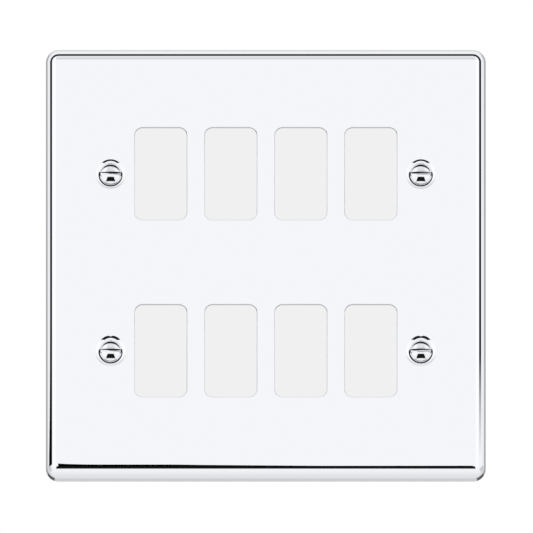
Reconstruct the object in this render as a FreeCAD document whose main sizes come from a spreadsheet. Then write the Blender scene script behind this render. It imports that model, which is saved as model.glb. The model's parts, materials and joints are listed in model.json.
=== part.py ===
import FreeCAD, Part
import math
import os
from types import SimpleNamespace
import Sketcher

# Grid switch plate: a pressed front plate held by four screws to two pressed grid frames.
# Millimetres. X runs to the right, Z up, and the face looks along -Y. The plane Y = 0 is the
# wall, and the origin is the centre of the wall box's four fixing points.

SIZES = [
    ("plate_side", 12.7, "wall box's fixing centres to the plate's left and right ends"),
    ("plate_end", 42.85, "a row's centre to the plate's top or bottom end"),
    ("plate_depth", 8.0, "wall to face"),
    ("plate_sheet", 1.2, "sheet of the front plate"),
    ("edge_radius", 4.0, "pressed rounding between the face and the skirt"),
    ("face_corner", 0.3, "corners of the flat face inside that rounding"),
    ("gang_pitch", 23.25, "module to module along a row"),
    ("aperture_width", 17.25, "aperture for one rocker"),
    ("aperture_height", 31.5, "aperture for one rocker"),
    ("aperture_radius", 2.6, "corners of an aperture"),
    ("aperture_edge", 0.2, "broken front edge of an aperture"),
    ("dimple_radius", 5.3, "where the face starts to turn into a screw's dimple"),
    ("dimple_round", 2.8, "rounding at the mouth of a dimple"),
    ("dimple_depth", 3.0, "face to the back end of a dimple"),
    ("shank_radius", 1.75, "plate screw"),
    ("head_radius", 3.5, "plate screw"),
    ("head_land", 0.15, "straight rim of the screw head"),
    ("head_dome", 0.85, "raised top of the screw head"),
    ("head_slot_width", 1.1, "driver slot"),
    ("head_slot_depth", 1.15, "driver slot, below the top of the dome"),
    ("screw_length", 12.0, "countersink rim to the tip"),
    ("tip_chamfer", 0.6, "lead at the screw's tip"),
    ("hole_gap", 0.2, "screw shank to the plate's hole"),
    ("seat_gap", 0.02, "screw head to the countersink"),
    ("thread_gap", 0.02, "screw to thread, rivet to hole, bush to frame"),
    ("retainer_radius", 3.4, "nylon washer behind the plate"),
    ("retainer_thick", 0.8, "nylon washer"),
    ("bush_gap", 0.3, "washer to bush"),
    ("bush_radius", 3.2, "threaded bush"),
    ("bush_spigot", 2.45, "part of the bush that goes through the frame"),
    ("bush_lip_radius", 3.1, "clinched lip behind the frame"),
    ("bush_lip", 0.5, "clinched lip"),
    ("bush_lead", 0.35, "chamfer at the mouth of the thread"),
    ("frame_sheet", 1.2, "sheet of the grid frame"),
    ("frame_gap", 10.3, "between the two grid frames"),
    ("window_height", 38.0, "window for a row of modules"),
    ("window_end", 0.5, "row of modules to each end of its window"),
    ("rail_height", 6.0, "rail above and below the window, over its bend"),
    ("screw_inset", 4.5, "window's end to the plate screw"),
    ("blank_land", 5.0, "plate screw to the end of the frame's wide middle"),
    ("blank_radius", 2.0, "corners of the wide middle"),
    ("box_inset", 8.8, "plate screw to the wall box's fixing centre"),
    ("ear_land", 2.4, "metal beyond the box slot"),
    ("ear_drop", 12.0, "ear's edge, in from the rail's"),
    ("ear_radius", 3.0, "corners of the ears"),
    ("tooth_width", 3.0, "locating tooth between two modules"),
    ("tooth_length", 1.8, "locating tooth between two modules"),
    ("flange_end", 2.0, "flange's end, in from the window's"),
    ("flange_depth", 5.0, "wall plane to the flange's edge"),
    ("bend_radius", 0.8, "inside of the flange's bend"),
    ("relief_width", 1.5, "notch at each end of a bend"),
    ("relief_depth", 2.6, "notch at each end of a bend"),
    ("clip_width", 7.0, "pierced slot that a module's clip enters"),
    ("clip_height", 1.4, "pierced slot"),
    ("clip_land", 1.2, "metal between the window and the slot"),
    ("box_slot_width", 3.8, "slot for the wall box's screw"),
    ("box_slot_length", 7.6, "slot for the wall box's screw"),
    ("terminal_drop", 18.0, "row's centre down to the earth terminal"),
    ("terminal_width", 8.0, "earth terminal, along X and Z"),
    ("terminal_depth", 7.5, "earth terminal, out from the frame"),
    ("terminal_edge", 0.4, "broken edges of the earth terminal"),
    ("wire_radius", 1.7, "hole for the earth wire"),
    ("wire_height", 4.6, "frame's back to the wire's centre"),
    ("earth_shank", 1.5, "clamping screw"),
    ("earth_thread", 4.0, "clamping screw below its head"),
    ("earth_head_radius", 2.8, "clamping screw"),
    ("earth_head", 2.0, "clamping screw"),
    ("earth_slot_width", 0.8, "driver slot of the clamping screw"),
    ("earth_slot_depth", 1.0, "driver slot of the clamping screw"),
    ("rivet_radius", 1.5, "rivet that holds the terminal"),
    ("rivet_reach", 2.0, "rivet inside the terminal"),
    ("rivet_head_radius", 2.6, "rivet head in front of the frame"),
    ("rivet_head", 0.9, "rivet head in front of the frame"),
]

ROOT_HALF = math.sqrt(0.5)
ROOT_TWO = math.sqrt(2.0)
CUT_PAST = 1.0

GANGS = 4
ROWS = 2


class Length:
    """A size as the number that a first drawing needs and the expression that binds it."""

    def __init__(self, value, text):
        self.value = value
        self.text = text

    def combined(self, sign, other, number):
        other_text = other.text if isinstance(other, Length) else repr(other)
        return Length(number, f"({self.text} {sign} {other_text})")

    def __add__(self, other):
        return self.combined("+", other, self.value + number_of(other))

    def __sub__(self, other):
        return self.combined("-", other, self.value - number_of(other))

    def __mul__(self, other):
        return self.combined("*", other, self.value * number_of(other))

    def __truediv__(self, other):
        return self.combined("/", other, self.value / number_of(other))

    def __neg__(self):
        return Length(-self.value, f"(0 - {self.text})")


def number_of(length):
    return length.value if isinstance(length, Length) else length


def text_of(length):
    return length.text if isinstance(length, Length) else repr(length)


def make_sheet(doc):
    sheet = doc.addObject("Spreadsheet::Sheet", "Sizes")
    for row, (name, value, note) in enumerate(SIZES, start=1):
        sheet.set(f"A{row}", name)
        sheet.set(f"B{row}", repr(value))
        sheet.set(f"C{row}", note)
        sheet.setAlias(f"B{row}", name)
    doc.recompute()
    return SimpleNamespace(**{name: Length(value, f"Sizes.{name}") for name, value, _ in SIZES})


doc = FreeCAD.newDocument("GridSwitchPlate")
size = make_sheet(doc)
ZERO = Length(0.0, "0")


def bind(feature, prop, length):
    feature.setExpression(prop, text_of(length))


def new_body(name, at_x=ZERO, at_z=ZERO):
    """A body whose own origin lies in the wall plane, placed at a point of the front view."""
    body = doc.addObject("PartDesign::Body", name)
    body.Label = name
    bind(body, "Placement.Base.x", at_x)
    bind(body, "Placement.Base.z", at_z)
    return body


def new_sketch(body, name, role, offset=(ZERO, ZERO, ZERO)):
    """A sketch on one of the body's origin planes, moved by an offset in the sketch's axes."""
    sketch = body.newObject("Sketcher::SketchObject", f"{body.Name}_{name}")
    plane = next(item for item in body.Origin.OriginFeatures if item.Role == role)
    sketch.AttachmentSupport = [(plane, "")]
    sketch.MapMode = "FlatFace"
    sketch.AttachmentOffset = FreeCAD.Placement(
        FreeCAD.Vector(*[number_of(part) for part in offset]), FreeCAD.Rotation())
    for axis, part in zip("xyz", offset):
        bind(sketch, f"AttachmentOffset.Base.{axis}", part)
    return sketch


def front_sketch(body, name, forward=ZERO):
    """A sketch seen from the front: its axes are X and Z, at a distance in front of the wall."""
    return new_sketch(body, name, "XZ_Plane", (ZERO, ZERO, forward))


def hold(sketch, kind, item, point, length):
    index = sketch.addConstraint(Sketcher.Constraint(kind, item, point, number_of(length)))
    bind(sketch, f"Constraints[{index}]", length)


def hold_point(sketch, item, point, place):
    hold(sketch, "DistanceX", item, point, place[0])
    hold(sketch, "DistanceY", item, point, place[1])


def vector(place):
    return FreeCAD.Vector(number_of(place[0]), number_of(place[1]), 0)


def add_arc(sketch, start, end, centre, turn):
    """An arc between two places; its centre is held by the coordinate that fixes it."""
    middle = vector(centre)
    first, last = vector(start) - middle, vector(end) - middle
    if turn == "right":
        first, last = last, first
    circle = Part.Circle(middle, FreeCAD.Vector(0, 0, 1), first.Length)
    angles = [math.atan2(arm.y, arm.x) for arm in (first, last)]
    item = sketch.addGeometry(Part.ArcOfCircle(circle, angles[0], angles[1]), False)
    chord = vector(end) - vector(start)
    if abs(chord.y) > abs(chord.x):
        hold(sketch, "DistanceX", item, 3, centre[0])
    else:
        hold(sketch, "DistanceY", item, 3, centre[1])
    return (item, 1, 2) if turn == "left" else (item, 2, 1)


def add_outline(sketch, corners, arcs=None):
    """A closed outline through the corners. arcs gives, for the edge that starts at a corner,
    its centre and whether it turns left or right; the other edges are straight."""
    arcs = arcs or {}
    edges = []
    for index, start in enumerate(corners):
        end = corners[(index + 1) % len(corners)]
        if index in arcs:
            edges.append(add_arc(sketch, start, end, *arcs[index]))
        else:
            line = Part.LineSegment(vector(start), vector(end))
            edges.append((sketch.addGeometry(line, False), 1, 2))
    for index, (item, first, last) in enumerate(edges):
        following, following_first, _ = edges[(index + 1) % len(edges)]
        sketch.addConstraint(
            Sketcher.Constraint("Coincident", item, last, following, following_first))
        hold_point(sketch, item, first, corners[index])


def add_rectangle(sketch, left, bottom, right, top):
    add_outline(sketch, [(left, bottom), (right, bottom), (right, top), (left, top)])


def add_rounded_rectangle(sketch, width, height, radius, at_x=ZERO, at_y=ZERO):
    left, right = at_x - width / 2, at_x + width / 2
    bottom, top = at_y - height / 2, at_y + height / 2
    corners = [
        (left + radius, bottom), (right - radius, bottom),
        (right, bottom + radius), (right, top - radius),
        (right - radius, top), (left + radius, top),
        (left, top - radius), (left, bottom + radius),
    ]
    arcs = {
        1: ((right - radius, bottom + radius), "left"),
        3: ((right - radius, top - radius), "left"),
        5: ((left + radius, top - radius), "left"),
        7: ((left + radius, bottom + radius), "left"),
    }
    add_outline(sketch, corners, arcs)


def add_slot(sketch, length, width, at_x):
    """A slot along X with round ends, centred on the sketch's X axis."""
    reach = (length - width) / 2
    half = width / 2
    left, right = at_x - reach, at_x + reach
    corners = [(left, -half), (right, -half), (right, half), (left, half)]
    arcs = {1: ((right, ZERO), "left"), 3: ((left, ZERO), "left")}
    add_outline(sketch, corners, arcs)


def add_circle(sketch, radius, at_x=ZERO, at_y=ZERO):
    circle = Part.Circle(vector((at_x, at_y)), FreeCAD.Vector(0, 0, 1), number_of(radius))
    item = sketch.addGeometry(circle, False)
    hold_point(sketch, item, 3, (at_x, at_y))
    index = sketch.addConstraint(Sketcher.Constraint("Radius", item, number_of(radius)))
    bind(sketch, f"Constraints[{index}]", radius)


def new_feature(body, kind, name):
    return body.newObject(f"PartDesign::{kind}", f"{body.Name}_{name}")


def pad(body, name, sketch, length):
    feature = new_feature(body, "Pad", name)
    feature.Profile = sketch
    bind(feature, "Length", length)
    doc.recompute()
    return feature


def pocket(body, name, sketch, length):
    """Cuts from the sketch towards the back, and must take material away."""
    before = body.Shape.Volume
    feature = new_feature(body, "Pocket", name)
    feature.Profile = sketch
    bind(feature, "Length", length)
    doc.recompute()
    assert body.Shape.Volume < before, f"{feature.Name} cuts nothing"
    return feature


def turned(body, kind, name, sketch, axis="H_Axis"):
    """A full turn of a sketch about one of its own axes, added or cut."""
    feature = new_feature(body, kind, name)
    feature.Profile = sketch
    feature.ReferenceAxis = (sketch, [axis])
    feature.Angle = 360
    doc.recompute()
    return feature


def repeated(body, name, originals, sketch, across, up):
    """A pattern along the sketch's two axes. across and up are each a span and a count."""
    before = body.Shape.Volume
    feature = new_feature(body, "LinearPattern", name)
    feature.Originals = originals
    feature.Direction = (sketch, ["H_Axis"])
    feature.Direction2 = (sketch, ["V_Axis"])
    bind(feature, "Length", across[0])
    feature.Occurrences = across[1]
    bind(feature, "Length2", up[0])
    feature.Occurrences2 = up[1]
    body.Tip = feature
    doc.recompute()
    assert abs(body.Shape.Volume - before) > 1e-6, f"{feature.Name} repeats nothing"
    return feature


def edges_where(shape, wanted):
    return [f"Edge{index}" for index, edge in enumerate(shape.Edges, start=1)
            if wanted(edge.BoundBox)]


def flat_at(low, high, place, slack=1e-4):
    return abs(low - place) < slack and abs(high - place) < slack


def dress_edges(body, kind, name, base, names, prop, length):
    feature = new_feature(body, kind, name)
    feature.Base = (base, names)
    bind(feature, prop, length)
    doc.recompute()
    return feature


def round_edges(body, name, base, names, radius):
    return dress_edges(body, "Fillet", name, base, names, "Radius", radius)


def break_edges(body, name, base, names, width):
    return dress_edges(body, "Chamfer", name, base, names, "Size", width)


# Standard centres and overall sizes that follow from the modules and the margins round them.
MODULE_ROW = size.gang_pitch * GANGS
WINDOW_WIDTH = MODULE_ROW + size.window_end * 2
SCREW_PITCH = WINDOW_WIDTH + size.screw_inset * 2
BOX_PITCH = SCREW_PITCH + size.box_inset * 2
FRAME_HEIGHT = size.window_height + size.rail_height * 2
ROW_PITCH = FRAME_HEIGHT + size.frame_gap
PLATE_WIDTH = BOX_PITCH + size.plate_side * 2
PLATE_HEIGHT = ROW_PITCH + size.plate_end * 2

# Places that several pieces share, as distances behind the wall plane, so negative in front.
FACE = -size.plate_depth
DIMPLE_RIM = size.dimple_radius - size.dimple_round * ROOT_HALF
DIMPLE_RIM_DEPTH = size.dimple_round * (1 - ROOT_HALF)
HOLE_RADIUS = size.shank_radius + size.hole_gap
SEAT = FACE + DIMPLE_RIM_DEPTH + DIMPLE_RIM - size.head_radius - size.seat_gap
DIMPLE_BACK = FACE + size.dimple_depth
FRAME_FRONT = -size.frame_sheet
ROW_CENTRE = ROW_PITCH / 2
SCREW_X = SCREW_PITCH / 2
FIRST_GANG = size.gang_pitch * ((1 - GANGS) / 2)
GANG_SPAN = size.gang_pitch * (GANGS - 1)


def make_front_plate():
    """One pressed sheet: face, rounded rim and skirt, with apertures and screw dimples."""
    body = new_body("front_plate")

    outline = front_sketch(body, "outline")
    add_rounded_rectangle(outline, PLATE_WIDTH, PLATE_HEIGHT,
                          size.edge_radius + size.face_corner)
    block = pad(body, "block", outline, size.plate_depth)
    face = number_of(FACE)
    rim = edges_where(block.Shape, lambda box: flat_at(box.YMin, box.YMax, face))
    rounded = round_edges(body, "pressed_edge", block, rim, size.edge_radius)

    shell = new_feature(body, "Thickness", "shell")
    back = [f"Face{index}" for index, item in enumerate(rounded.Shape.Faces, start=1)
            if flat_at(item.BoundBox.YMin, item.BoundBox.YMax, 0.0)]
    shell.Base = (rounded, back)
    shell.Reversed = True
    bind(shell, "Value", size.plate_sheet)
    doc.recompute()

    form_dimples(body)
    blank_apertures(body)
    return body


def form_dimples(body):
    """Each screw sits in a dimple that is pressed back from the face, as thick as the sheet."""
    first = (ZERO, -ROW_CENTRE, -SCREW_X)
    outer_sum = DIMPLE_RIM + DIMPLE_RIM_DEPTH + size.plate_sheet * ROOT_TWO
    buried = size.plate_sheet / 2

    boss = new_sketch(body, "dimple_back", "YZ_Plane", first)
    add_outline(boss, [
        (FACE + buried, ZERO), (FACE + buried, outer_sum - buried),
        (DIMPLE_BACK, outer_sum - size.dimple_depth), (DIMPLE_BACK, ZERO),
    ])
    raised = turned(body, "Revolution", "dimple_cup", boss)

    mouth = new_sketch(body, "dimple_front", "YZ_Plane", first)
    cone_end = FACE + DIMPLE_RIM_DEPTH + DIMPLE_RIM - HOLE_RADIUS
    corners = [
        (FACE - CUT_PAST, ZERO), (DIMPLE_BACK + CUT_PAST, ZERO),
        (DIMPLE_BACK + CUT_PAST, HOLE_RADIUS), (cone_end, HOLE_RADIUS),
        (FACE + DIMPLE_RIM_DEPTH, DIMPLE_RIM), (FACE, size.dimple_radius),
        (FACE - CUT_PAST, size.dimple_radius),
    ]
    centre = (FACE + size.dimple_round, size.dimple_radius)
    add_outline(mouth, corners, {4: (centre, "right")})
    hollow = turned(body, "Groove", "dimple_countersink", mouth)

    front = front_sketch(body, "dimple_axes")
    repeated(body, "dimples", [raised, hollow], front,
             (SCREW_PITCH, 2), (ROW_PITCH, ROWS))


def blank_apertures(body):
    """One rounded aperture for each module, cut through the face in two rows."""
    opening = front_sketch(body, "aperture", size.plate_depth)
    add_rounded_rectangle(opening, size.aperture_width, size.aperture_height,
                          size.aperture_radius, FIRST_GANG, -ROW_CENTRE)
    cut = pocket(body, "aperture_cut", opening, size.plate_sheet + CUT_PAST)
    cuts = repeated(body, "apertures", [cut], opening, (GANG_SPAN, GANGS), (ROW_PITCH, ROWS))

    face = number_of(FACE)
    reach = number_of(MODULE_ROW) / 2
    mouths = edges_where(cuts.Shape, lambda box: flat_at(box.YMin, box.YMax, face)
                         and max(abs(box.XMin), abs(box.XMax)) < reach)
    break_edges(body, "aperture_edges", cuts, mouths, size.aperture_edge)


def make_plate_screw(name, side, level):
    """Slotted raised countersunk machine screw."""
    body = new_body(name, SCREW_X * side, ROW_CENTRE * level)
    rim = SEAT - size.head_land
    crown = rim - size.head_dome
    tip = SEAT + size.screw_length
    dome_radius = (size.head_radius * size.head_radius / size.head_dome + size.head_dome) / 2

    profile = new_sketch(body, "profile", "YZ_Plane")
    corners = [
        (crown, ZERO), (rim, size.head_radius), (SEAT, size.head_radius),
        (SEAT + size.head_radius - size.shank_radius, size.shank_radius),
        (tip - size.tip_chamfer, size.shank_radius),
        (tip, size.shank_radius - size.tip_chamfer), (tip, ZERO),
    ]
    add_outline(profile, corners, {0: ((crown + dome_radius, ZERO), "right")})
    turned(body, "Revolution", "turned", profile)

    slot = front_sketch(body, "slot", -crown)
    reach = size.head_radius + CUT_PAST
    half = size.head_slot_width / 2
    add_rectangle(slot, -reach, -half, reach, half)
    pocket(body, "driver_slot", slot, size.head_slot_depth)
    return body


def make_screw_retainer(name, side, level):
    """Nylon washer that grips the screw behind the plate, so that it can't fall out."""
    body = new_body(name, SCREW_X * side, ROW_CENTRE * level)
    profile = new_sketch(body, "profile", "YZ_Plane")
    bore = size.shank_radius + size.thread_gap
    back = DIMPLE_BACK + size.retainer_thick
    add_outline(profile, [
        (DIMPLE_BACK, bore), (back, bore),
        (back, size.retainer_radius), (DIMPLE_BACK, size.retainer_radius),
    ])
    turned(body, "Revolution", "washer", profile)
    return body


def make_screw_bush(name, side, level):
    """Threaded bush clinched into the grid frame."""
    body = new_body(name, SCREW_X * side, ROW_CENTRE * level)
    profile = new_sketch(body, "profile", "YZ_Plane")
    bore = size.shank_radius + size.thread_gap
    front = DIMPLE_BACK + size.retainer_thick + size.bush_gap
    add_outline(profile, [
        (front, bore + size.bush_lead), (front + size.bush_lead, bore), (size.bush_lip, bore),
        (size.bush_lip, size.bush_lip_radius - size.bush_lip),
        (ZERO, size.bush_lip_radius), (ZERO, size.bush_spigot),
        (FRAME_FRONT, size.bush_spigot), (FRAME_FRONT, size.bush_radius),
        (front, size.bush_radius),
    ])
    turned(body, "Revolution", "bush", profile)
    return body


def make_grid_frame(name, level):
    """Pressed frame for one row of modules, with bent rails and an ear at each end."""
    body = new_body(name, ZERO, ROW_CENTRE * level)

    blank = front_sketch(body, "blank")
    add_rounded_rectangle(blank, SCREW_PITCH + size.blank_land * 2, FRAME_HEIGHT,
                          size.blank_radius)
    pad(body, "sheet", blank, size.frame_sheet)
    ears = front_sketch(body, "ears")
    ear_length = BOX_PITCH + size.box_slot_length + size.ear_land * 2
    add_rounded_rectangle(ears, ear_length, FRAME_HEIGHT - size.ear_drop * 2, size.ear_radius)
    pad(body, "ear_sheet", ears, size.frame_sheet)

    bend_rails(body)
    cut_window(body)
    pierce_frame(body)
    return body


def bend_rails(body):
    """Flanges bent forward along both rails, with a relief notch at each end of a bend."""
    half_height = FRAME_HEIGHT / 2
    half_length = WINDOW_WIDTH / 2 - size.flange_end
    inside = half_height - size.frame_sheet

    flanges = front_sketch(body, "flanges")
    add_rectangle(flanges, -half_length, inside, half_length, half_height)
    add_rectangle(flanges, -half_length, -half_height, half_length, -inside)
    raised = pad(body, "flange_pair", flanges, size.flange_depth)

    notches = front_sketch(body, "bend_reliefs", size.frame_sheet)
    for side in (-1, 1):
        inner = half_length * side
        outer = inner + size.relief_width * side
        left, right = (outer, inner) if side < 0 else (inner, outer)
        past = half_height + CUT_PAST
        deep = half_height - size.relief_depth
        add_rectangle(notches, left, deep, right, past)
        add_rectangle(notches, left, -past, right, -deep)
    relieved = pocket(body, "bend_relief_cuts", notches, size.frame_sheet)

    length, height = number_of(half_length) * 2, number_of(half_height)

    def along_flange(box):
        return abs(box.XLength - length) < 1e-4

    def edge_at(box, y, z):
        return flat_at(box.YMin, box.YMax, y) and abs(abs(box.ZMin) - z) < 1e-4

    front, thick = number_of(FRAME_FRONT), number_of(inside)
    inner = edges_where(relieved.Shape,
                        lambda box: along_flange(box) and edge_at(box, front, thick))
    bent = round_edges(body, "inner_bends", relieved, inner, size.bend_radius)
    outer = edges_where(bent.Shape, lambda box: along_flange(box) and edge_at(box, 0.0, height))
    round_edges(body, "outer_bends", bent, outer, size.bend_radius + size.frame_sheet)


def cut_window(body):
    """The window for a row of modules, with a locating tooth at each side of each joint."""
    window = front_sketch(body, "window", size.frame_sheet)
    half_width, half_height = WINDOW_WIDTH / 2, size.window_height / 2
    low = -half_height + size.tooth_length
    joints = [size.gang_pitch * (gang - GANGS / 2) for gang in range(1, GANGS)]
    corners = [(-half_width, -half_height)]
    for joint in joints:
        left, right = joint - size.tooth_width / 2, joint + size.tooth_width / 2
        corners += [(left, -half_height), (left, low), (right, low), (right, -half_height)]
    corners.append((half_width, -half_height))
    corners += [(-x, -z) for x, z in corners]
    add_outline(window, corners)
    pocket(body, "module_window", window, size.frame_sheet)


def pierce_frame(body):
    """Slots and holes: the wall box's screws, the bushes, the rivet and the modules' clips."""
    fixings = front_sketch(body, "box_slots", size.frame_sheet)
    for side in (-1, 1):
        add_slot(fixings, size.box_slot_length, size.box_slot_width, BOX_PITCH / 2 * side)
    pocket(body, "box_slot_cuts", fixings, size.frame_sheet)

    holes = front_sketch(body, "round_holes", size.frame_sheet)
    for side in (-1, 1):
        add_circle(holes, size.bush_spigot + size.thread_gap, SCREW_X * side)
    add_circle(holes, size.rivet_radius + size.thread_gap, -SCREW_X, -size.terminal_drop)
    pocket(body, "round_hole_cuts", holes, size.frame_sheet)

    clips = front_sketch(body, "clip_slot", size.frame_sheet)
    outward = size.window_height / 2 + size.clip_land
    for low, high in ((outward, outward + size.clip_height),
                      (-outward - size.clip_height, -outward)):
        add_rectangle(clips, FIRST_GANG - size.clip_width / 2, low,
                      FIRST_GANG + size.clip_width / 2, high)
    cut = pocket(body, "clip_slot_cut", clips, size.frame_sheet)
    repeated(body, "clip_slots", [cut], clips, (GANG_SPAN, GANGS), (ZERO, 1))


def make_earth_terminal(name, level):
    """Brass block on the back of the frame, with a hole for the wire and one for its screw."""
    body = new_body(name, -SCREW_X, ROW_CENTRE * level - size.terminal_drop)
    half = size.terminal_width / 2

    base = front_sketch(body, "base", -size.terminal_depth)
    add_rectangle(base, -half, -half, half, half)
    block = pad(body, "block", base, size.terminal_depth)
    back = number_of(size.terminal_depth)
    rim = edges_where(block.Shape, lambda box: flat_at(box.YMin, box.YMax, back))
    break_edges(body, "broken_edges", block, rim, size.terminal_edge)

    rivet_hole = front_sketch(body, "rivet_hole")
    add_circle(rivet_hole, size.rivet_radius + size.thread_gap)
    pocket(body, "rivet_hole_cut", rivet_hole, size.rivet_reach + size.thread_gap)

    wire_hole = new_sketch(body, "wire_hole", "YZ_Plane", (ZERO, ZERO, half))
    add_circle(wire_hole, size.wire_radius, size.wire_height)
    pocket(body, "wire_hole_cut", wire_hole, size.terminal_width)

    screw_hole = new_sketch(body, "screw_hole", "XY_Plane")
    add_circle(screw_hole, size.earth_shank + size.thread_gap, ZERO, size.wire_height)
    pocket(body, "screw_hole_cut", screw_hole, half)
    return body


def make_earth_screw(name, level):
    """Cheese-head screw that clamps the earth wire from below, backed off to leave it room."""
    body = new_body(name, -SCREW_X, ROW_CENTRE * level - size.terminal_drop)
    tip = -size.wire_radius - size.thread_gap
    neck = tip - size.earth_thread
    crown = neck - size.earth_head

    profile = new_sketch(body, "profile", "YZ_Plane", (size.wire_height, ZERO, ZERO))
    add_outline(profile, [
        (ZERO, crown), (size.earth_head_radius, crown), (size.earth_head_radius, neck),
        (size.earth_shank, neck), (size.earth_shank, tip), (ZERO, tip),
    ])
    turned(body, "Revolution", "turned", profile, "V_Axis")

    past = size.earth_head_radius + CUT_PAST
    slot = new_sketch(body, "slot", "YZ_Plane", (size.wire_height, ZERO, past))
    half = size.earth_slot_width / 2
    add_rectangle(slot, -half, crown - CUT_PAST, half, crown + size.earth_slot_depth)
    pocket(body, "driver_slot", slot, past * 2)
    return body


def make_terminal_rivet(name, level):
    """Rivet from the front of the frame into the terminal."""
    body = new_body(name, -SCREW_X, ROW_CENTRE * level - size.terminal_drop)
    head, radius = size.rivet_head, size.rivet_head_radius
    top = FRAME_FRONT - head
    dome_radius = (radius * radius / head + head) / 2

    profile = new_sketch(body, "profile", "YZ_Plane")
    corners = [
        (top, ZERO), (FRAME_FRONT, radius), (FRAME_FRONT, size.rivet_radius),
        (size.rivet_reach, size.rivet_radius), (size.rivet_reach, ZERO),
    ]
    add_outline(profile, corners, {0: ((top + dome_radius, ZERO), "right")})
    turned(body, "Revolution", "turned", profile)
    return body


bodies = [make_front_plate()]
for row, level in (("top", 1), ("bottom", -1)):
    bodies.append(make_grid_frame(f"grid_frame_{row}", level))
    bodies.append(make_earth_terminal(f"earth_terminal_{row}", level))
    bodies.append(make_earth_screw(f"earth_screw_{row}", level))
    bodies.append(make_terminal_rivet(f"terminal_rivet_{row}", level))
    for hand, side in (("left", -1), ("right", 1)):
        bodies.append(make_plate_screw(f"plate_screw_{row}_{hand}", side, level))
        bodies.append(make_screw_retainer(f"screw_retainer_{row}_{hand}", side, level))
        bodies.append(make_screw_bush(f"screw_bush_{row}_{hand}", side, level))
doc.recompute()

for item in doc.Objects:
    assert "Invalid" not in item.State and "Error" not in item.State, f"{item.Name} failed"
for body in bodies:
    shape = body.Shape
    assert not shape.isNull() and shape.isValid(), f"{body.Label} has no valid solid"
    assert len(shape.Solids) == 1, f"{body.Label} is not one solid"

os.makedirs("parts", exist_ok=True)
for body in bodies:
    body.Shape.exportStep(f"parts/{body.Label}.step")
    print(body.Label, round(body.Shape.Volume, 1))
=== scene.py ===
import json
import math

import bmesh
import bpy
from mathutils import Matrix, Vector


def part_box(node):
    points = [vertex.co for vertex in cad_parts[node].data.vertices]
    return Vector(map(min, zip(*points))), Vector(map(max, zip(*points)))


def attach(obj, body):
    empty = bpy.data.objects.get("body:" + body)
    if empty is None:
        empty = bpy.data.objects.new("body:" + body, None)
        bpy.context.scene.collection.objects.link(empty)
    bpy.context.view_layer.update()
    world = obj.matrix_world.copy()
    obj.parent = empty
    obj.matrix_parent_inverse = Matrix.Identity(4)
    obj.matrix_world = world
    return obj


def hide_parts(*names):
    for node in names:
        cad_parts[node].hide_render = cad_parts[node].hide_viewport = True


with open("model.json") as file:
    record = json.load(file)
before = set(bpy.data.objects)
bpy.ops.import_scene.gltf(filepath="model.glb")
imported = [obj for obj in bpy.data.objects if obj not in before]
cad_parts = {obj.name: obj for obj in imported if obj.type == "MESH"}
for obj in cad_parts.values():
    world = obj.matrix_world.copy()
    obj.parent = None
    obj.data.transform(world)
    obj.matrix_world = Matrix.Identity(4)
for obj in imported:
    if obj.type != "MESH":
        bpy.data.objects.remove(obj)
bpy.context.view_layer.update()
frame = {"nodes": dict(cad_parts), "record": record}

# A bright-chrome grid switch plate, seen square on from a little below, in a white studio.
# Lengths are metres in the part's own frame: X right, Z up, the face looks along -Y.

MM = 0.001

# What the part gives: the plate's face and outline, and the places and sizes of the screws.
plate_low, plate_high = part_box("front_plate")
FACE_Y = plate_low.y
PLATE_WIDTH = plate_high.x - plate_low.x
SHEET = 1.2 * MM
EDGE_RADIUS = 4.0 * MM
screw_low, screw_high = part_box("plate_screw_top_right")
SCREW_X = (screw_low.x + screw_high.x) / 2
SCREW_Z = (screw_low.z + screw_high.z) / 2
SLOT_HALF = 0.55 * MM
SLOT_DEPTH = 1.2 * MM
SLOT_FLOOR_Y = screw_low.y + SLOT_DEPTH
# How far round the slot's side the painted shade on its upper wall reaches.
SLOT_SHADE_REACH = 0.03 * MM
SLOT_WALL_ROUGHNESS = 0.6
terminal_low, terminal_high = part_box("earth_terminal_top")
TERMINAL_X = (terminal_low.x + terminal_high.x) / 2
WIRE_Y = 4.6 * MM

# The plate's finish. All apertures lie within PUNCHED_X and PUNCHED_Z of its centre. Behind the
# face, their broken edges reach to BROKEN_END and their punched walls nearly to the back. The
# sheet's outer OUTER_SHARE has the bright plating, and the rest the thin one.
OUTER_SHARE = 0.6
PUNCHED_X = 45 * MM
PUNCHED_Z = 50 * MM
BROKEN_START = 0.02 * MM
BROKEN_END = 0.24 * MM
PUNCHED_END = SHEET - 0.03 * MM
BRIGHT_PLATING = (0.905, 0.914, 0.95, 1)
THIN_PLATING = (0.62, 0.63, 0.66, 1)
# The punched walls are tinted part way to a dark grey: painted shade in the apertures.
PUNCHED_WALL_SHADE = (0.2, 0.2, 0.21, 1)
PUNCHED_WALL_SHADE_SHARE = 0.5
BRIGHT_ROUGHNESS = (0.012, 0.03)
THIN_ROUGHNESS = (0.24, 0.36)
PUNCHED_ROUGHNESS = 0.5
BROKEN_ROUGHNESS = 0.3

# Screw threads: radii at core and crest, pitch, and the plain stretches at the head and the tip.
PLATE_THREAD = {"core": 1.42 * MM, "crest": 1.75 * MM, "pitch": 0.6 * MM,
                "from_head": 4.6 * MM, "from_tip": 0.6 * MM}
EARTH_THREAD = {"core": 1.2 * MM, "crest": 1.5 * MM, "pitch": 0.5 * MM,
                "from_head": 2.3 * MM, "from_tip": 0.25 * MM}
STEPS_PER_TURN = 36
TAPER_TURNS = 0.5

# A thread's ridge: its foot lies inside the core, and its half widths are shares of the pitch.
FOOT_RADIUS_SHARE = 0.97
FOOT_HALF_WIDTH = 0.46
CREST_HALF_WIDTH = 0.08

WELD_DISTANCE = 0.001 * MM
SHANK_TOLERANCE = 0.01 * MM
SHARP_ANGLE = math.radians(32)

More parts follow.
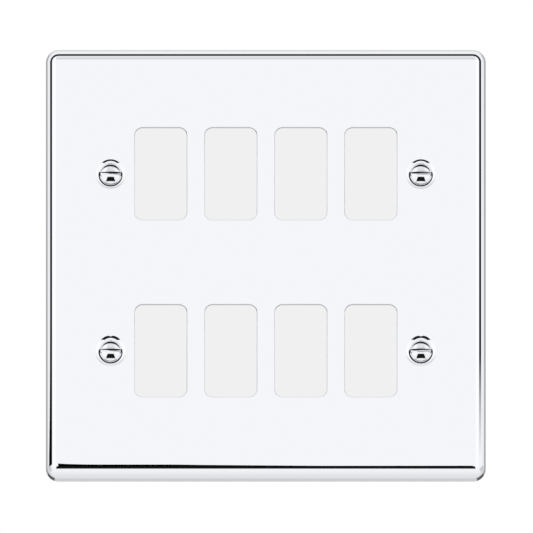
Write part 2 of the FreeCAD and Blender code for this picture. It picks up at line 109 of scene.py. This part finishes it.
# The photograph's view: parallel, from below, 533 pixels wide.
VIEW_ELEVATION = math.radians(-13.0)
IMAGE_PIXELS = 533
PLATE_PIXELS = 439.8
PLATE_CENTRE_PIXELS = (265.8, 262.0)
CAMERA_DISTANCE = 0.6
CLIP_START = 0.01
CLIP_END = 20.0

# Parts of the studio, in degrees: bearings from the plate's front and how softly they end,
# heights and how softly they end, and how much light the part adds or takes away. A part that
# starts FROM_MIDDLE or goes TO_BACK has no edge there.
DEGREES = 180 / math.pi
FROM_MIDDLE = -100
TO_BACK = 300
SIDE_LIGHTS = ((22, 56), 8, (-10, 60), 12, 0.08)
VEIL = ((FROM_MIDDLE, 22), 6, (18, 48), 4, 0.14)
WINGS = ((72, 112), 8, (-30, 4), 5, 0.3)
REAR = ((120, TO_BACK), 8, (-30, 40), 12, 1.0)
STRIPE = ((FROM_MIDDLE, 20), 6, (22, 30), 2, 0.16)
CORNER_REACH = ((140, 172), 2, (-30, 6), 2, 0.85)

# How bright the broad light is in front, behind and low down, and low and high in the rear.
FRONT_LIGHT = 1.005
BACK_LIGHT = 0.81
LOW_SHARE = 0.9
REAR_LIGHT = (0.66, 0.42)

# Black gaps, in degrees: the arch and the corner ring lie round their axes, the patch in front
# lies between two heights, and its half width shrinks as it rises.
ARCH_AXIS = Vector((-0.04, -0.985, -0.174)).normalized()
ARCH_BAND = (60.0, 82.0)
ARCH_FOOT = 4
CORNER_AXIS = Vector((0, 0.974, 0.225))
CORNER_BAND = (14.0, 34.0)
PATCH_BAND = (-27.0, -4.6)
PATCH_HALF_WIDTH = 13.3
PATCH_NARROWING = 0.47
GAP_DEPTH = 0.99

# Flags beside the plate that only its mirror sees, in millimetres. The bottom one is given by
# its corners' X and Z. The side ones stand at SIDE_REACH, by the corners' bearings and Z.
BOTTOM_REACH = 4.0
BOTTOM_FLAG = ((-69.3, -67.7), (-66, -67.9), (-60, -68.05), (-44, -68.15), (-36, -68.5),
               (-20, -68.95), (3, -69.3), (19, -69.5), (69, -69.45), (69, -70.1), (-69.3, -70.1))
SIDE_REACH = 300.0
LEFT_FACING = -85
LEFT_FLAG = ((-74, 80), (-80.6, 60), (-84, 30), (-87, 18), (-91, 10), (-95, 4), (-96, -60),
             (-74, -60))
RIGHT_FACING = 65
RIGHT_FLAG = ((45, 60), (85, 60), (85, -100), (45, -100))
RIGHT_FADE = (3.0, 38.0)

FLOOR_SIZE = 8.0
FLOOR_Z = -0.35
CARD_DISTANCE = 0.55
CARD_WIDTH = 0.1
CARD_HEIGHT = 0.11
# The card's glow, seen only by the camera and darker than the white background: painted shade.
CARD_SHADE = 0.871


def new_material(name):
    material = bpy.data.materials.new(name)
    material.use_nodes = True
    material.node_tree.nodes.clear()
    return material


class Graph:
    """Short calls for a node tree: each takes numbers or sockets and gives a socket."""

    def __init__(self, tree):
        self.tree = tree

    def node(self, kind, **settings):
        made = self.tree.nodes.new(kind)
        for name, value in settings.items():
            setattr(made, name, value)
        return made

    def feed(self, socket, value):
        if isinstance(value, bpy.types.NodeSocket):
            self.tree.links.new(value, socket)
        else:
            socket.default_value = value

    def math(self, operation, first, second=0.0, third=0.0):
        made = self.node("ShaderNodeMath", operation=operation)
        for socket, value in zip(made.inputs, (first, second, third)):
            self.feed(socket, value)
        return made.outputs[0]

    def size(self, value):
        """A number without its sign."""
        return self.math("ABSOLUTE", value)

    def largest(self, *values):
        total = values[0]
        for value in values[1:]:
            total = self.math("MAXIMUM", total, value)
        return total

    def product(self, *values):
        total = values[0]
        for value in values[1:]:
            total = self.math("MULTIPLY", total, value)
        return total

    def remainder(self, share):
        """What a share leaves of 1."""
        return self.math("SUBTRACT", 1.0, share)

    def step(self, value, edge, soft):
        """0 below the edge and 1 above it, over a soft stretch."""
        made = self.node("ShaderNodeMapRange", interpolation_type="SMOOTHSTEP")
        self.feed(made.inputs["Value"], value)
        self.feed(made.inputs["From Min"], edge - soft)
        self.feed(made.inputs["From Max"], edge + soft)
        return made.outputs["Result"]

    def band(self, value, low, high, soft):
        """1 between two values and 0 outside them."""
        return self.product(self.step(value, low, soft),
                            self.remainder(self.step(value, high, soft)))

    def ramp(self, value, low, high, first, last):
        """A number that goes from first to last as value goes from low to high."""
        made = self.node("ShaderNodeMapRange")
        for name, item in (("Value", value), ("From Min", low), ("From Max", high),
                           ("To Min", first), ("To Max", last)):
            self.feed(made.inputs[name], item)
        return made.outputs["Result"]

    def spread(self, noise, first, last, low=0.3, high=0.7):
        """Noise, which mostly lies between low and high, spread from first to last."""
        return self.ramp(noise, low, high, first, last)

    def mix(self, share, first, second):
        made = self.node("ShaderNodeMix", data_type="RGBA")
        self.feed(made.inputs["Factor"], share)
        self.feed(made.inputs["A"], first)
        self.feed(made.inputs["B"], second)
        return made.outputs["Result"]

    def place(self):
        """Where a surface point is on the part, as X, Y and Z in metres."""
        coordinates = self.node("ShaderNodeTexCoord")
        split = self.node("ShaderNodeSeparateXYZ")
        self.feed(split.inputs[0], coordinates.outputs["Object"])
        return split.outputs

    def vector(self, x, y, z):
        made = self.node("ShaderNodeCombineXYZ")
        for socket, value in zip(made.inputs, (x, y, z)):
            self.feed(socket, value)
        return made.outputs[0]

    def length(self, *parts):
        total = self.product(parts[0], parts[0])
        for part in parts[1:]:
            total = self.math("MULTIPLY_ADD", part, part, total)
        return self.math("SQRT", total)

    def beyond(self, value, limit):
        """How far a value goes past a limit, or 0."""
        return self.math("MAXIMUM", self.math("SUBTRACT", value, limit), 0.0)

    def noise(self, place, scale, detail=3.0, roughness=0.5):
        made = self.node("ShaderNodeTexNoise")
        self.feed(made.inputs["Vector"], place)
        for name, value in (("Scale", scale), ("Detail", detail), ("Roughness", roughness)):
            self.feed(made.inputs[name], value)
        return made.outputs["Fac"]

    def bump(self, height, distance, strength=1.0):
        made = self.node("ShaderNodeBump")
        for name, value in (("Height", height), ("Distance", distance), ("Strength", strength)):
            self.feed(made.inputs[name], value)
        return made.outputs["Normal"]

    def surface(self, colour, roughness, metallic, normal=None, **constants):
        shader = self.node("ShaderNodeBsdfPrincipled")
        self.feed(shader.inputs["Base Color"], colour)
        self.feed(shader.inputs["Roughness"], roughness)
        shader.inputs["Metallic"].default_value = metallic
        if normal is not None:
            self.feed(shader.inputs["Normal"], normal)
        for name, value in constants.items():
            shader.inputs[name.replace("_", " ")].default_value = value
        self.finish(shader.outputs[0])

    def finish(self, surface, kind="Material"):
        output = self.node(f"ShaderNodeOutput{kind}")
        self.feed(output.inputs["Surface"], surface)


def chrome_plate_material():
    """Bright chrome outside; the plating is thin and dull inside and on the punched walls, and
    a little dull on the broken edges. The punched walls are also tinted darker: painted shade."""
    material = new_material("bright_chrome")
    graph = Graph(material.node_tree)
    x, y, z = graph.place()
    core = PLATE_WIDTH / 2 - EDGE_RADIUS
    from_core = graph.length(
        graph.beyond(graph.size(x), core), graph.beyond(graph.size(z), core),
        graph.beyond(graph.product(y, -1.0), -FACE_Y - EDGE_RADIUS))
    under_plating = EDGE_RADIUS - SHEET * OUTER_SHARE
    inside = graph.remainder(graph.step(from_core, under_plating, soft=0.05 * MM))
    outer = graph.largest(graph.product(graph.size(x), PUNCHED_Z / PUNCHED_X), graph.size(z))
    near_apertures = graph.remainder(graph.step(outer, PUNCHED_Z, soft=MM))
    punched = graph.product(near_apertures, graph.band(
        y, FACE_Y + BROKEN_END, FACE_Y + PUNCHED_END, soft=0.02 * MM))
    broken = graph.product(near_apertures, graph.band(
        y, FACE_Y + BROKEN_START, FACE_Y + BROKEN_END, soft=0.01 * MM))

    upright_grain = graph.vector(graph.product(x, 6.0), y, z)
    grain = graph.noise(upright_grain, scale=300.0)
    polish = graph.noise(graph.vector(x, y, z), scale=55.0)
    dull = graph.spread(grain, *THIN_ROUGHNESS)
    bright = graph.spread(polish, *BRIGHT_ROUGHNESS)
    polished = graph.math("ADD", graph.product(inside, dull),
                          graph.product(graph.remainder(inside), bright))
    roughness = graph.largest(polished, graph.product(punched, PUNCHED_ROUGHNESS),
                              graph.product(broken, BROKEN_ROUGHNESS))
    plating = graph.mix(inside, BRIGHT_PLATING, THIN_PLATING)
    # Painted shade: the punched walls are tinted part way to dark grey.
    colour = graph.mix(graph.product(punched, PUNCHED_WALL_SHADE_SHARE), plating, PUNCHED_WALL_SHADE)
    graph.surface(colour, roughness, 1.0, graph.bump(polish, distance=0.0004 * MM))
    return material


def turned_metal_material(name, colour, worn, roughness, pitch, depth, slot_shade_colour=None):
    """Metal turned on a lathe: fine rings round the plate screws' axes, and slight tarnish.
    The slot's upper wall can be made rougher and given a dark tone: painted shade, as the wall
    lies in shadow."""
    material = new_material(name)
    graph = Graph(material.node_tree)
    x, y, z = graph.place()
    radius = graph.length(graph.math("SUBTRACT", graph.size(x), SCREW_X),
                          graph.math("SUBTRACT", graph.size(z), SCREW_Z))
    rings = graph.math("SINE", graph.product(graph.math("ADD", radius, y), math.tau / pitch))
    mottle = graph.noise(graph.vector(x, y, z), scale=900.0, detail=4.0)
    tone = graph.mix(graph.spread(mottle, 0.0, 1.0, low=0.35), colour, worn)
    rough = graph.spread(mottle, *roughness)
    # The slot's upper wall gets the dark slot_shade_colour: painted shade where the wall lies in
    # shadow.
    if slot_shade_colour:
        level = graph.math("SUBTRACT", z, graph.product(graph.math("SIGN", z), SCREW_Z))
        slot_wall_shade_mask = graph.product(
            graph.band(level, SLOT_HALF - SLOT_SHADE_REACH, SLOT_HALF + SLOT_SHADE_REACH,
                       soft=0.01 * MM),
            graph.remainder(graph.step(y, SLOT_FLOOR_Y, soft=0.05 * MM)))
        tone = graph.mix(slot_wall_shade_mask, tone, slot_shade_colour)
        rough = graph.largest(rough, graph.product(slot_wall_shade_mask, SLOT_WALL_ROUGHNESS))
    graph.surface(tone, rough, 1.0, graph.bump(rings, depth, strength=0.6))
    return material


def zinc_sheet_material():
    """Bright zinc plate over rolled strip: long fine streaks and a faint blue and straw cast."""
    material = new_material("zinc_sheet")
    graph = Graph(material.node_tree)
    x, y, z = graph.place()
    along_strip = graph.vector(graph.product(x, 0.06), y, z)
    streaks = graph.noise(along_strip, scale=2600.0, detail=5.0, roughness=0.6)
    patches = graph.noise(graph.vector(x, y, z), scale=70.0)
    bluish = (0.66, 0.70, 0.76, 1)
    straw = (0.74, 0.73, 0.69, 1)
    grey = (0.55, 0.57, 0.60, 1)
    cast = graph.mix(graph.spread(patches, 0.0, 1.0, low=0.35, high=0.65), bluish, straw)
    tone = graph.mix(graph.spread(streaks, 0.0, 0.5, low=0.35), cast, grey)
    rough = graph.spread(streaks, 0.2, 0.36)
    graph.surface(tone, rough, 1.0, graph.bump(streaks, distance=0.004 * MM))
    return material


def brass_material(name, roughness):
    """Drawn brass: saw and drawing marks, and a slightly browned tone in patches."""
    material = new_material(name)
    graph = Graph(material.node_tree)
    x, y, z = graph.place()
    along_bar = graph.vector(graph.product(x, 0.15), y, z)
    drawn = graph.noise(along_bar, scale=2400.0, detail=4.0)
    patches = graph.noise(graph.vector(x, y, z), scale=420.0)
    yellow = (0.86, 0.66, 0.30, 1)
    browned = (0.70, 0.48, 0.20, 1)
    tone = graph.mix(graph.spread(patches, 0.0, 1.0, low=0.35), yellow, browned)
    rough = graph.spread(drawn, *roughness)
    graph.surface(tone, rough, 1.0, graph.bump(drawn, distance=0.004 * MM))
    return material


def nylon_material():
    """Natural nylon, slightly see-through at its edges, with a moulded grain."""
    material = new_material("natural_nylon")
    graph = Graph(material.node_tree)
    x, y, z = graph.place()
    grain = graph.noise(graph.vector(x, y, z), scale=2200.0)
    light = (0.86, 0.84, 0.77, 1)
    shaded = (0.80, 0.78, 0.71, 1)
    rough = graph.spread(grain, 0.38, 0.52)
    graph.surface(graph.mix(grain, light, shaded), rough, 0.0,
                  graph.bump(grain, distance=0.006 * MM),
                  Subsurface_Weight=0.25, Subsurface_Scale=0.0005)
    return material


MATERIALS = {
    "chrome_plate": chrome_plate_material(),
    "chrome_screw": turned_metal_material(
        "chrome_screw", colour=(0.90, 0.91, 0.94, 1), worn=(0.84, 0.85, 0.88, 1),
        roughness=(0.015, 0.04), pitch=0.12 * MM, depth=0.0002 * MM,
        # the slot's upper wall is painted near black: painted shade
        slot_shade_colour=(0.03, 0.03, 0.035, 1)),
    "zinc_sheet": zinc_sheet_material(),
    "zinc_bush": turned_metal_material(
        "zinc_bush", colour=(0.66, 0.69, 0.74, 1), worn=(0.56, 0.57, 0.58, 1),
        roughness=(0.18, 0.34), pitch=0.16 * MM, depth=0.0006 * MM),
    "steel_rivet": turned_metal_material(
        "steel_rivet", colour=(0.60, 0.60, 0.61, 1), worn=(0.50, 0.49, 0.48, 1),
        roughness=(0.28, 0.42), pitch=0.2 * MM, depth=0.0006 * MM),
    "nylon": nylon_material(),
    "brass_block": brass_material("brass_block", roughness=(0.2, 0.34)),
    "brass_screw": brass_material("brass_screw", roughness=(0.16, 0.26)),
}


def dress_nodes():
    slots = {row["node"]: row["material_slot"] for row in frame["record"]["subparts"]}
    for name, node in frame["nodes"].items():
        node.data.materials.clear()
        node.data.materials.append(MATERIALS[slots[name]])
    return slots


def add_thread(builder, origin, axis, start, end, thread):
    """A helical ridge round an axis, tapering in at both ends."""
    core = thread["core"]
    foot = core * FOOT_RADIUS_SHARE
    count = int((end - start) / thread["pitch"] * STEPS_PER_TURN)
    side = axis.orthogonal().normalized()
    other = axis.cross(side)
    rings = []
    for index in range(count + 1):
        share = index / count
        turns_from_end = min(share, 1 - share) * count / STEPS_PER_TURN
        height = core + (thread["crest"] - core) * min(1.0, turns_from_end / TAPER_TURNS)
        angle = index / STEPS_PER_TURN * math.tau
        out = side * math.cos(angle) + other * math.sin(angle)
        along = start + (end - start) * share
        section = ((foot, -FOOT_HALF_WIDTH), (height, -CREST_HALF_WIDTH),
                   (height, CREST_HALF_WIDTH), (foot, FOOT_HALF_WIDTH))
        rings.append([
            builder.verts.new(origin + out * radius + axis * (along + shift * thread["pitch"]))
            for radius, shift in section])
    for one, two in zip(rings, rings[1:]):
        for index in range(len(one)):
            following = (index + 1) % len(one)
            builder.faces.new((one[index], one[following], two[following], two[index]))
    builder.faces.new(rings[0])
    builder.faces.new(list(reversed(rings[-1])))


def threaded_screw(name, origin, axis, thread):
    """The CAD screw with its plain shank cut down to the core and a real thread wound on it."""
    low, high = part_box(name)
    start = low.dot(axis) + thread["from_head"]
    end = high.dot(axis) - thread["from_tip"]
    mesh = frame["nodes"][name].data.copy()
    mesh.name = f"{name}_threaded"
    piece = bpy.data.objects.new(mesh.name, mesh)
    bpy.context.scene.collection.objects.link(piece)

    builder = bmesh.new()
    builder.from_mesh(mesh)
    bmesh.ops.remove_doubles(builder, verts=builder.verts, dist=WELD_DISTANCE)
    for vertex in builder.verts:
        offset = vertex.co - origin
        out = offset - axis * offset.dot(axis)
        if abs(out.length - thread["crest"]) < SHANK_TOLERANCE:
            vertex.co -= out * (1 - thread["core"] / out.length)
    add_thread(builder, origin, axis, start, end, thread)
    bmesh.ops.recalc_face_normals(builder, faces=builder.faces)
    builder.to_mesh(mesh)
    builder.free()
    mesh.shade_smooth()
    mesh.set_sharp_from_angle(angle=SHARP_ANGLE)

    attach(piece, "root")
    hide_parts(name)


def thread_all_screws():
    towards_back = Vector((0, 1, 0))
    upwards = Vector((0, 0, 1))
    for row, level in (("top", 1), ("bottom", -1)):
        for hand, side in (("left", -1), ("right", 1)):
            name = f"plate_screw_{row}_{hand}"
            origin = Vector((SCREW_X * side, 0, SCREW_Z * level))
            threaded_screw(name, origin, towards_back, PLATE_THREAD)
        name = f"earth_screw_{row}"
        origin = Vector((TERMINAL_X, WIRE_Y, 0))
        threaded_screw(name, origin, upwards, EARTH_THREAD)


def stage_plane(name, width, height, matrix, material):
    builder = bmesh.new()
    bmesh.ops.create_grid(builder, x_segments=1, y_segments=1, size=0.5)
    bmesh.ops.scale(builder, vec=Vector((width, height, 1)), verts=builder.verts)
    mesh = bpy.data.meshes.new(name)
    builder.to_mesh(mesh)
    builder.free()
    mesh.materials.append(material)
    plane = bpy.data.objects.new(name, mesh)
    plane.matrix_world = matrix
    bpy.context.scene.collection.objects.link(plane)
    return plane


def hide_from(thing, *rays):
    for ray in rays:
        setattr(thing, f"visible_{ray}", False)


def floor_material():
    material = new_material("pale_floor")
    graph = Graph(material.node_tree)
    x, y, z = graph.place()
    soft = graph.noise(graph.vector(x, y, z), scale=3.0)
    tone = graph.mix(soft, (0.97, 0.97, 0.97, 1), (0.955, 0.955, 0.96, 1))
    graph.surface(tone, 0.9, 0.0)
    return material


def glowing_material(name, brightness, fade=None):
    """A plain light; with a fade it is solid below the first height and clear above the last."""
    material = new_material(name)
    graph = Graph(material.node_tree)
    light = graph.node("ShaderNodeEmission")
    light.inputs["Color"].default_value = (brightness, brightness, brightness, 1)
    surface = light.outputs[0]
    if fade:
        height = graph.place()[2]
        mixed = graph.node("ShaderNodeMixShader")
        clear = graph.node("ShaderNodeBsdfTransparent")
        graph.feed(mixed.inputs[0], graph.ramp(height, fade[0] * MM, fade[1] * MM, 1.0, 0.0))
        graph.feed(mixed.inputs[1], clear.outputs[0])
        graph.feed(mixed.inputs[2], surface)
        surface = mixed.outputs[0]
    graph.finish(surface)
    return material


def build_stage():
    """A pale floor, and a light grey glowing card, seen only by the camera through the
    apertures: painted shade of the plate on a backdrop behind it.
    """
    level = Matrix.Translation((0, 0, FLOOR_Z))
    floor = stage_plane("floor", FLOOR_SIZE, FLOOR_SIZE, level, floor_material())
    hide_from(floor, "glossy")
    up = CARD_DISTANCE * math.tan(-VIEW_ELEVATION)
    upright = Matrix.Translation((0, CARD_DISTANCE, up)) @ Matrix.Rotation(math.pi / 2, 4, "X")
    # A glowing card, not a lamp: painted shade behind the plate.
    grey = glowing_material("painted_shade_card", CARD_SHADE)
    card = stage_plane("painted_shade_card", CARD_WIDTH, CARD_HEIGHT, upright, grey)
    hide_from(card, "diffuse", "glossy", "transmission", "volume_scatter", "shadow")


def flag(name, corners, material):
    """A flat shape that hides or lights what the mirror-bright parts would see behind it."""
    mesh = bpy.data.meshes.new(name)
    mesh.from_pydata([tuple(value * MM for value in corner) for corner in corners], [],
                     [tuple(range(len(corners)))])
    mesh.materials.append(material)
    made = bpy.data.objects.new(name, mesh)
    bpy.context.scene.collection.objects.link(made)
    hide_from(made, "camera", "diffuse", "transmission", "volume_scatter", "shadow")


def side_corners(corners, facing):
    """Points of an upright plane at SIDE_REACH from the plate's edge that faces one bearing."""
    edge_x = math.copysign(PLATE_WIDTH / 2 / MM, facing)
    points = []
    for bearing, height in corners:
        reach = SIDE_REACH / math.cos(math.radians(bearing - facing))
        turn = math.radians(bearing)
        points.append((edge_x + reach * math.sin(turn), FACE_Y / MM - reach * math.cos(turn),
                       height))
    return points


def build_flags():
    black = glowing_material("black_flag", 0.0)
    white = glowing_material("white_flag", 1.0, RIGHT_FADE)
    front = FACE_Y / MM - BOTTOM_REACH
    flag("bottom_flag", [(x, front, z) for x, z in BOTTOM_FLAG], black)
    flag("left_flag", side_corners(LEFT_FLAG, LEFT_FACING), black)
    flag("right_flag", side_corners(RIGHT_FLAG, RIGHT_FACING), white)


def build_world():
    """A white studio. Mirrors also see the darker places between its lights, given as bearings
    from the plate's front and heights above the horizon, in degrees."""
    world = bpy.data.worlds.new("studio")
    bpy.context.scene.world = world
    world.use_nodes = True
    world.node_tree.nodes.clear()
    graph = Graph(world.node_tree)
    coordinates = graph.node("ShaderNodeTexCoord")
    split = graph.node("ShaderNodeSeparateXYZ")
    graph.feed(split.inputs[0], coordinates.outputs["Generated"])
    x, y, z = split.outputs
    height = graph.product(graph.math("ARCSINE", z), DEGREES)
    turn = graph.math("ARCTAN2", x, graph.product(y, -1.0))
    bearing = graph.product(graph.size(turn), DEGREES)

    glossy = graph.node("ShaderNodeLightPath").outputs["Is Glossy Ray"]
    mirrored = graph.product(studio_light(graph, y, bearing, height),
                             studio_gaps(graph, (x, y, z), bearing, height))
    strength = graph.math("ADD", graph.remainder(glossy), graph.product(glossy, mirrored))
    background = graph.node("ShaderNodeBackground")
    background.inputs["Color"].default_value = (1, 1, 1, 1)
    graph.feed(background.inputs["Strength"], strength)
    graph.finish(background.outputs[0], kind="World")


def studio_part(graph, bearing, height, part):
    """How much one of the studio's parts adds or takes away in a direction."""
    bearings, bearing_soft, heights, height_soft, amount = part
    return graph.product(graph.band(bearing, *bearings, bearing_soft),
                         graph.band(height, *heights, height_soft), amount)


def studio_light(graph, y, bearing, height):
    """Broad light: full in front, less behind, and least low down behind the plate."""
    behind = graph.step(y, 0.3, soft=0.9)
    broad = graph.product(graph.ramp(behind, 0.0, 1.0, FRONT_LIGHT, BACK_LIGHT),
                          graph.ramp(height, -90, -20, LOW_SHARE, 1.0))
    rear = studio_part(graph, bearing, height, REAR)
    rear_light = graph.ramp(graph.step(height, 0, soft=8), 0.0, 1.0, *REAR_LIGHT)
    light = graph.math("ADD", graph.product(broad, graph.remainder(rear)),
                       graph.product(rear_light, rear))
    light = graph.math("ADD", light, studio_part(graph, bearing, height, SIDE_LIGHTS))
    for part in (VEIL, WINGS):
        light = graph.math("SUBTRACT", light, studio_part(graph, bearing, height, part))
    return light


def angle_from(graph, direction, axis):
    """Degrees between a direction and an axis, which both have a length of 1."""
    along = 0.0
    for part, share in zip(direction, axis):
        along = graph.math("MULTIPLY_ADD", part, share, along)
    return graph.product(graph.math("ARCCOSINE", along), DEGREES)


def studio_gaps(graph, direction, bearing, height):
    """1 where a light is, near 0 in the black gaps: an arch over the plate, a low patch in
    front, a faint stripe above the middle, and part of a ring low down behind the plate."""
    arch = graph.product(
        graph.band(angle_from(graph, direction, ARCH_AXIS), *ARCH_BAND, soft=2.0),
        graph.step(height, ARCH_FOOT, soft=4))
    patch_half = graph.math("SUBTRACT", PATCH_HALF_WIDTH, graph.product(height, PATCH_NARROWING))
    off_patch = graph.step(graph.math("SUBTRACT", bearing, patch_half), 0, soft=1.2)
    patch = graph.product(graph.band(height, *PATCH_BAND, soft=0.8), graph.remainder(off_patch))
    stripe = studio_part(graph, bearing, height, STRIPE)
    corner = graph.product(
        graph.band(angle_from(graph, direction, CORNER_AXIS), *CORNER_BAND, soft=1.5),
        studio_part(graph, bearing, height, CORNER_REACH))
    dark = graph.largest(arch, patch, stripe, corner)
    return graph.remainder(graph.product(dark, GAP_DEPTH))


def build_camera():
    """Looks up at the plate, aimed so that it falls where the photograph has it."""
    pixel = PLATE_WIDTH / PLATE_PIXELS
    data = bpy.data.cameras.new("camera")
    data.type = "ORTHO"
    data.ortho_scale = IMAGE_PIXELS * pixel
    data.clip_start = CLIP_START
    data.clip_end = CLIP_END
    camera = bpy.data.objects.new("camera", data)
    bpy.context.scene.collection.objects.link(camera)
    bpy.context.scene.camera = camera

    forward = Vector((0, math.cos(VIEW_ELEVATION), -math.sin(VIEW_ELEVATION)))
    right = Vector((1, 0, 0))
    up = right.cross(forward)
    off_right = (IMAGE_PIXELS / 2 - PLATE_CENTRE_PIXELS[0]) * pixel
    off_down = (IMAGE_PIXELS / 2 - PLATE_CENTRE_PIXELS[1]) * pixel
    face_centre = Vector((0, FACE_Y, 0))
    aim = face_centre + right * off_right - up * off_down
    camera.location = aim - forward * CAMERA_DISTANCE
    camera.rotation_mode = "QUATERNION"
    camera.rotation_quaternion = forward.to_track_quat("-Z", "Y")


part_slots = dress_nodes()
thread_all_screws()
build_stage()
build_flags()
build_world()
build_camera()
bpy.context.scene.view_settings.view_transform = "Standard"
